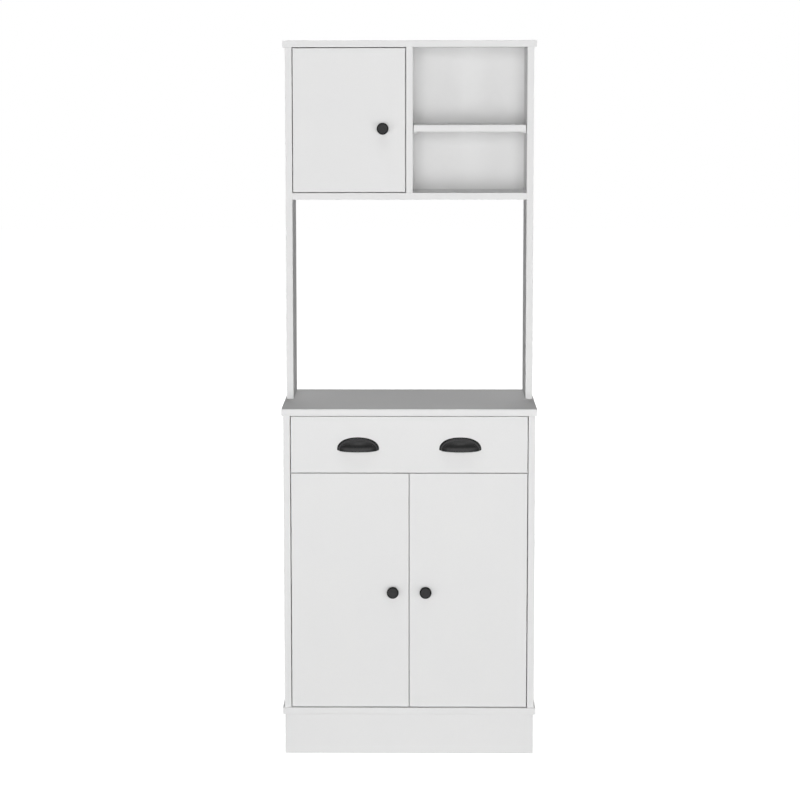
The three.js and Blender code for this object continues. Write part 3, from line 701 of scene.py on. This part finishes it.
def hinge_frame(door, end):
    low, high = box_mm(f"{door}_hinge_arm_{end}")
    hand = 1 if low.x < 0 else -1
    face = low.x if hand > 0 else high.x
    middle = (low.z + high.z) / 2
    return Matrix.Translation((face, high.y - ARM_END, middle)) @ Matrix.Diagonal((hand, 1, 1, 1))


def cup_outline(turn):
    """How far the flange reaches from the cup's middle in that direction: a circle and two ears."""
    reach = CUP_RIM
    ray = Vector((math.cos(turn), math.sin(turn)))
    for k in range(120):
        far = CUP_RIM + k * 0.1
        x, z = CUP_CENTRE + ray.x * far, ray.y * far
        if math.hypot(x - EAR_X, max(abs(z) - EAR_Z, 0)) < EAR_RADIUS:
            reach = far
    return reach


def add_hinge_cup(door, end):
    place = hinge_frame(door, end)
    sides = 96
    turns = [2 * math.pi * k / sides for k in range(sides)]
    reach = [cup_outline(t) for t in turns]
    top, floor, inner_floor = CUP_FLANGE_TOP, CUP_FLOOR, CUP_FLOOR + CUP_FLOOR_THICKNESS
    levels = [(0.0, inner_floor), (CUP_BORE - 3, inner_floor), (CUP_BORE - 1, inner_floor + 0.6),
              (CUP_BORE, inner_floor + 2.5), (CUP_BORE, top - 0.6), (CUP_BORE + 0.5, top)]
    outer = [(-0.3, top), (0.0, top - 0.3), (0.0, DOOR_BOARD)]
    under = [(CUP_RADIUS, DOOR_BOARD), (CUP_RADIUS, floor + 2.5), (CUP_RADIUS - 2, floor), (0.0, floor)]
    bm = bmesh.new()

    def ring(radii, y):
        return [bm.verts.new(place @ Vector((CUP_CENTRE + r * math.cos(t), y, r * math.sin(t))))
                for r, t in zip(radii, turns)]

    rings = [ring([r] * sides, y) for r, y in levels]
    rings += [ring([r + more for r in reach], y) for more, y in outer]
    rings += [ring([r] * sides, y) for r, y in under]
    skin(bm, rings)
    bmesh.ops.remove_doubles(bm, verts=bm.verts, dist=0.001)
    chord = math.sqrt(CUP_BORE ** 2 - (CUP_CENTRE - CUP_PIVOT.x) ** 2)
    pin = [(0, -chord), (PIN_RADIUS, -chord), (PIN_RADIUS, chord), (0, chord)]
    revolve(bm, pin, place @ Vector((*CUP_PIVOT, 0)), (0, 0, 1), 24)
    for way in (-1, 1):  # the pin's bearings, pressed out of the cup's wall
        cheek = [(CUP_PIVOT.x - BEARING_RADIUS, inner_floor), (CUP_PIVOT.x + BEARING_RADIUS, inner_floor)]
        cheek += arc(CUP_PIVOT, BEARING_RADIUS, 0, 180, 8)
        near, far = sorted((way * (chord - BEARING_THICKNESS), way * chord))
        prism(bm, cheek, near, far, place)
    shown(f"{door}_hinge_cup_{end}_pressed", bm, pressed_zinc, f"{door}_door",
          [f"{door}_hinge_cup_{end}"])


def add_hinge_link(door, end):
    place = hinge_frame(door, end)
    span = ARM_PIVOT - CUP_PIVOT
    radius = ((span.length / 2) ** 2 + LINK_BULGE ** 2) / (2 * LINK_BULGE)
    way = Vector((span.y, -span.x)).normalized()
    centre = (CUP_PIVOT + ARM_PIVOT) / 2 + way * (LINK_BULGE - radius)
    middle = math.degrees(math.atan2(way.y, way.x))
    sweep = math.degrees(math.atan2(span.length / 2, radius - LINK_BULGE))
    strip = arc(centre, radius + LINK_THICKNESS / 2, middle - sweep, middle + sweep, 24)
    strip += arc(centre, radius - LINK_THICKNESS / 2, middle + sweep, middle - sweep, 24)
    bm = bmesh.new()
    prism(bm, strip, -LINK_HALF, LINK_HALF, place)
    bore, rim, bevel, half = PIN_RADIUS + PIN_GAP, EYE_RADIUS, EYE_BEVEL, LINK_HALF
    eye = [(bore, -half), (rim - bevel, -half), (rim, bevel - half),
           (rim, half - bevel), (rim - bevel, half), (bore, half), (bore, -half)]
    for pivot in (CUP_PIVOT, ARM_PIVOT):
        revolve(bm, eye, place @ Vector((*pivot, 0)), (0, 0, 1), 28)
    shown(f"{door}_hinge_link_{end}_pressed", bm, pressed_zinc, f"{door}_links",
          [f"{door}_hinge_link_{end}"])


def add_hinge_arm(door, end):
    place = hinge_frame(door, end)
    px, py = ARM_PIVOT
    nose, foot = NOSE_RADIUS, PLATE_TOP - 1
    slot = LINK_HALF + LINK_GAP
    side = [(px + nose, CLIMB_START), (ARM_TOP, CLIMB_END + nose), (ARM_TOP, ARM_END), (foot, ARM_END),
            (foot, CLIMB_END), (px - nose, CLIMB_START - 0.5)]
    cheek = arc(ARM_PIVOT, nose, 180, 360, 14) + [(px + nose, CLIMB_START - 1), (px - nose, CLIMB_START - 1)]
    bm = bmesh.new()
    start = py + nose + FORK_GAP
    behind = rounded([(px + nose, start)] + side + [(px - nose, start)], ARM_BEND)
    prism(bm, behind, -ARM_HALF, ARM_HALF, place)
    for way in (-1, 1):
        near, far = sorted((way * slot, way * ARM_HALF))
        prism(bm, cheek, near, far, place)
        rivet = place @ Vector((px, py, way * ARM_HALF))
        revolve(bm, [(0, -0.4), (2.1, -0.4), (2.1, 0.1), (1.6, 0.5), (0, 0.6)], rivet, (0, 0, way), 20)
    pin = [(0, -ARM_HALF), (PIN_RADIUS, -ARM_HALF), (PIN_RADIUS, ARM_HALF), (0, ARM_HALF)]
    revolve(bm, pin, place @ Vector((px, py, 0)), (0, 0, 1), 24)
    shown(f"{door}_hinge_arm_{end}_pressed", bm, pressed_zinc, "cabinet",
          [f"{door}_hinge_arm_{end}"], soften=0.5, sharp=40)
    bm = bmesh.new()
    half, bar, wing = PLATE_HALF, WING_BAR, WING_HALF
    cross = [(-half, -bar), (-bar, -bar), (-bar, -wing), (bar, -wing), (bar, -bar), (half, -bar),
             (half, bar), (bar, bar), (bar, wing), (-bar, wing), (-bar, bar), (-half, bar)]
    plate = [(PLATE_MIDDLE + y, z) for y, z in cross]
    flat = place @ Matrix(((0, 0, 1, 0), (1, 0, 0, 0), (0, 1, 0, 0), (0, 0, 0, 1)))
    prism(bm, rounded(plate, PLATE_ROUNDING, 5), 0, PLATE_TOP, flat)
    shown(f"{door}_hinge_plate_{end}", bm, pressed_zinc, "cabinet", soften=0.5, sharp=40)


def hinge_screws(door, end):
    """The screws of the arm and its plate, and those of the cup's ears, each with its place."""
    place = hinge_frame(door, end)
    out = (place.to_3x3() @ Vector((1, 0, 0))).normalized()
    arm = [(SET_SCREW, facing(place @ Vector((ARM_TOP, y, 0)), out, y)) for y in SET_SCREWS_AT]
    arm += [(MACHINE_PAN, facing(place @ Vector((ARM_TOP - 1, ARM_SCREW_AT, 0)), out, 20))]
    arm += [(SMALL_PAN, facing(place @ Vector((PLATE_TOP, PLATE_MIDDLE, way * PLATE_SCREWS)), out, 30 * way))
            for way in (-1, 1)]
    ears = [(EAR_SCREW, facing(place @ Vector((EAR_X, CUP_FLANGE_TOP, way * EAR_Z)), (0, 1, 0), 25 * way))
            for way in (-1, 1)]
    return arm, ears


# ---------------------------------------------------------------- drawer slides

SLIDE_METAL, SLIDE_LIP, SLIDE_BEND = 1.25, 2.5, 1.1


def channel(web, reach, half, lip, lip_out):
    """A slide member's outline in (x, z) from the slide's middle line: a web, two flanges and their lips."""
    way = 1 if reach > web else -1
    inner = half - SLIDE_METAL
    far, near = web + way * SLIDE_METAL, reach - way * SLIDE_METAL
    if lip_out:
        top = [(web, half), (near, half), (near, half + lip), (reach, half + lip), (reach, inner)]
    else:
        top = [(web, half), (reach, half), (reach, inner - lip), (near, inner - lip), (near, inner)]
    top.append((far, inner))
    return top + [(x, -z) for x, z in reversed(top)]


def add_slide_member(kind, side, body):
    """Adds the member, and returns its height, its ends, and its faces towards the drawer and the side."""
    node = f"slide_{kind}_{side}"
    low, high = box_mm(node)
    near_drawer, near_side = (high.x, low.x) if side == "left" else (low.x, high.x)
    half = (high.z - low.z) / 2
    if kind == "drawer":
        outline = channel(near_drawer, near_side, half - 2 * SLIDE_LIP, 2 * SLIDE_LIP, True)
    else:
        outline = channel(near_side, near_drawer, half, SLIDE_LIP, False)
    middle = (low.z + high.z) / 2
    place = Matrix(((1, 0, 0, 0), (0, 0, 1, 0), (0, 1, 0, middle), (0, 0, 0, 1)))
    bm = bmesh.new()
    prism(bm, rounded(outline, SLIDE_BEND), low.y, high.y, place)
    shown(f"{node}_rolled", bm, drawn_zinc, body, [node], sharp=50)
    return middle, low.y, high.y, near_drawer, near_side


# ---------------------------------------------------------------- doors and drawer with their screws

DRAWER_MEMBER_SCREW, FIXED_MEMBER_SCREW, FIXED_MEMBER_NEXT = 35.0, 25.0, 90.0  # in from a member's end
SIDE_SCREW_IN, SIDE_SCREW_UP, SIDE_SCREW_DOWN = 6.0, 18.0, 14.0  # from the drawer side's edges

screws = {body: [] for body in ("cabinet", "drawer", "left_door", "right_door", "hutch_door")}


def fit_door(door):
    """The door's hinges and their screws, and the screw of its knob."""
    for end in ("lower", "upper"):
        add_hinge_cup(door, end)
        add_hinge_link(door, end)
        add_hinge_arm(door, end)
        arm, ears = hinge_screws(door, end)
        screws["cabinet"] += arm
        screws[f"{door}_door"] += ears
    low, high = box_mm(f"{door}_knob")
    back = Vector(((low.x + high.x) / 2, high.y + DOOR_BOARD, (low.z + high.z) / 2))
    screws[f"{door}_door"].append((MACHINE_PAN, facing(back, (0, 1, 0), 15)))


def fit_drawer(side, way):
    """One side's slide, and the screws of the slide, the cup pull and the drawer's back.

    The slides' and the back's screws are turned by their own places, so that they aren't all alike.
    """
    low, high = box_mm(f"cup_pull_{side}")
    x, y, z = (low.x + high.x) / 2, high.y + DOOR_BOARD, low.z + PULL_LIP_DROP + PULL_BOSS_HEIGHT
    for boss in (-1, 1):
        at = (x + boss * PULL_BOSSES, y, z)
        screws["drawer"].append((MACHINE_PAN, facing(at, (0, 1, 0), 40 * boss)))
    middle, start, end, web, _ = add_slide_member("drawer", side, "drawer")
    for y in (start + DRAWER_MEMBER_SCREW, (start + end) / 2, end - DRAWER_MEMBER_SCREW):
        screws["drawer"].append((LOW_PAN, facing((web + way * SLIDE_METAL, y, middle), (way, 0, 0), y)))
    add_slide_member("middle", side, "slide_middles")
    middle, start, end, _, web = add_slide_member("fixed", side, "cabinet")
    for y in (start + FIXED_MEMBER_SCREW, end - FIXED_MEMBER_NEXT, end - FIXED_MEMBER_SCREW):
        screws["cabinet"].append((LOW_PAN, facing((web - way * SLIDE_METAL, y, middle), (-way, 0, 0), y)))
    low, high = box_mm(f"drawer_side_{side}")
    outer = low.x if way < 0 else high.x
    for z in (low.z + SIDE_SCREW_UP, high.z - SIDE_SCREW_DOWN):
        at = (outer, high.y - SIDE_SCREW_IN, z)
        screws["drawer"].append((SIDE_SCREW, facing(at, (way, 0, 0), z)))


def add_screws():
    for body, placed in screws.items():
        bm = bmesh.new()
        for kind, place in placed:
            scatter(bm, kind, [place])
        shown(f"{body}_screws", bm, bright_zinc, body, sharp=30)


# ---------------------------------------------------------------- nails, caps, pads and collars

NAIL_INSET, NAIL_SPACING = 8.0, 120.0
CAM_REACH = 34.0  # from a cam to the joint it draws together
WORKTOP_CAM_DROP, TOP_CAM_DROP = 18.0, 20.0
BASE_CAM_FRONT, BASE_CAM_BACK, RAIL_CAM_BACK = 60.0, 50.0, 20.0  # from the boards' edges
HUTCH_CAM_FRONT, HUTCH_CAM_BACK, TOP_CAM_SPACING = 50.0, 35.0, 50.0
DRAWER_CAM_FRONT, DRAWER_CAM_UP, DRAWER_CAM_DOWN = 24.0, 26.0, 22.0
PAD_INSET, DOOR_PAD_DROP = 14.0, 4.0
SHELF_GAP, PIN_INSET, PIN_DROP = 2.0, 37.0, 2.8  # beside the shelf, from its edges, below it


def along(start, end, spacing):
    """Evenly spread places from start to end, about that spacing apart."""
    count = max(1, round((end - start) / spacing))
    return [start + (end - start) * k / count for k in range(count + 1)]


def add_nails(panel):
    low, high = box_mm(panel)
    x0, x1, z0, z1 = low.x + NAIL_INSET, high.x - NAIL_INSET, low.z + NAIL_INSET, high.z - NAIL_INSET
    spots = [(x, z) for x in along(x0, x1, NAIL_SPACING) for z in (z0, z1)]
    spots += [(x, z) for z in along(z0, z1, NAIL_SPACING)[1:-1] for x in (x0, x1)]
    bm = bmesh.new()
    scatter(bm, NAIL, [facing((x, high.y, z), (0, 1, 0)) for x, z in spots])
    shown(f"{panel}_nails", bm, bright_zinc, "cabinet", sharp=30)


def base_cap_places(clear):
    """On the base's sides and under the drawer rail. clear is half the width between the sides."""
    floor, worktop = box_mm("base_floor")[1].z, box_mm("worktop")[0].z
    low, high = box_mm("base_side_left")
    places = [facing((way * clear, y, z), (-way, 0, 0), 45)
              for way in (-1, 1)
              for y in (low.y + BASE_CAM_FRONT, high.y - BASE_CAM_BACK)
              for z in (floor + CAM_REACH, worktop - WORKTOP_CAM_DROP)]
    low, high = box_mm("drawer_rail")
    spots = [(way * (clear - CAM_REACH), high.y - RAIL_CAM_BACK, low.z) for way in (-1, 1)]
    return places + [facing(spot, (0, 0, -1)) for spot in spots]


def hutch_cap_places(clear):
    """Under the hutch's floor, and on its divider and left side, behind the door."""
    low, high = box_mm("hutch_floor")
    depths = (low.y + HUTCH_CAM_FRONT, high.y - HUTCH_CAM_BACK)
    places = [facing((way * (clear - CAM_REACH), y, low.z), (0, 0, -1)) for way in (-1, 1) for y in depths]
    divider, top = box_mm("hutch_divider")[0].x, box_mm("hutch_top")[0].z
    heights = (high.z + CAM_REACH, top - CAM_REACH)
    places += [facing((divider, y, z), (-1, 0, 0)) for y in depths for z in heights]
    depths = (high.y - HUTCH_CAM_BACK - TOP_CAM_SPACING, high.y - HUTCH_CAM_BACK)
    return places + [facing((-clear, y, top - TOP_CAM_DROP), (1, 0, 0)) for y in depths]


def add_caps():
    """Cover caps of the cam fittings, on faces that the closed fronts hide or that face down."""
    clear = box_mm("hutch_floor")[1].x
    bm = bmesh.new()
    scatter(bm, CAP, base_cap_places(clear) + hutch_cap_places(clear))
    shown("cam_caps", bm, white_plastic, "cabinet", sharp=40)
    bm = bmesh.new()
    low, high = box_mm("drawer_side_left")
    heights = (low.z + DRAWER_CAM_UP, high.z - DRAWER_CAM_DOWN)
    scatter(bm, CAP, [facing((way * -high.x, low.y + DRAWER_CAM_FRONT, z), (-way, 0, 0))
                      for way in (-1, 1) for z in heights])
    shown("drawer_cam_caps", bm, white_plastic, "drawer", sharp=40)


def add_pads():
    for door, way in (("left", 1), ("right", -1)):
        low, high = box_mm(f"{door}_door")
        free = high.x if way > 0 else low.x
        bm = bmesh.new()
        scatter(bm, PAD, [facing((free - way * PAD_INSET, high.y, high.z - DOOR_PAD_DROP), (0, 1, 0))])
        shown(f"{door}_door_pad", bm, white_plastic, f"{door}_door")
    low, high = box_mm("drawer_front")
    spots = [(x, high.y, low.z + PAD_RADIUS) for x in (low.x + PAD_INSET, high.x - PAD_INSET)]
    bm = bmesh.new()
    scatter(bm, PAD, [facing(spot, (0, 1, 0)) for spot in spots])
    shown("drawer_pads", bm, white_plastic, "drawer")


def add_pin_collars():
    bm = bmesh.new()
    for shelf in ("base_shelf", "open_shelf"):
        low, high = box_mm(shelf)
        for face, way in ((low.x - SHELF_GAP, 1), (high.x + SHELF_GAP, -1)):
            spots = [(face, y, low.z - PIN_DROP) for y in (low.y + PIN_INSET, high.y - PIN_INSET)]
            scatter(bm, COLLAR, [facing(spot, (way, 0, 0)) for spot in spots])
    shown("pin_collars", bm, bright_zinc, "cabinet", sharp=40)


# ---------------------------------------------------------------- everything in its place

for door in ("left", "right", "hutch"):
    add_knob(door)
for side in ("left", "right"):
    add_cup_pull(side)
for door in ("left", "right", "hutch"):
    fit_door(door)
for side, way in (("left", -1), ("right", 1)):
    fit_drawer(side, way)
add_screws()
for panel in ("base_back", "hutch_back"):
    add_nails(panel)
add_caps()
add_pads()
add_pin_collars()
